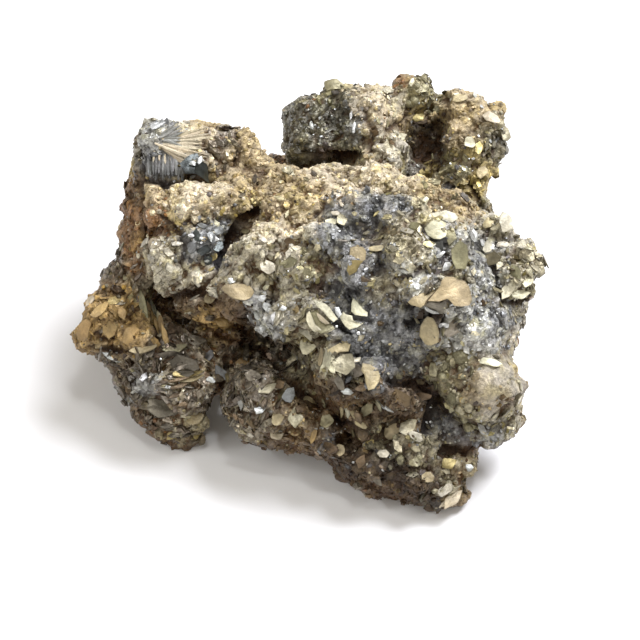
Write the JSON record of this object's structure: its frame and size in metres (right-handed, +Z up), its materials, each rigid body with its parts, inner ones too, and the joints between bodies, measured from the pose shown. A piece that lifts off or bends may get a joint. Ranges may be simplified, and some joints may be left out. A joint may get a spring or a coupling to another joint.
{
  "type": "mineral specimen",
  "caption": "Rough free-standing cluster of brassy pyrite: knobbly nodules crusted with platy crystals, with deep crevices and a flat resting patch underneath.",
  "frame": {"origin": "under the middle of the specimen's box, on the surface it rests on", "axes": "+X to the right along the specimen's longest side, seen from the front; +Y towards its back; +Z up. The broad show face looks to the front and up, about 42 degrees back from upright"},
  "size_m": [0.0762, 0.068, 0.0418],
  "materials": {
    "pyrite": "rough metallic crystal crust, brass gold tarnished to brown, steel grey and olive, with tan weathered grains and rust in the crevices"
  },
  "bodies": {
    "root": {"pyrite_specimen": "pyrite"}
  },
  "joints": []
}
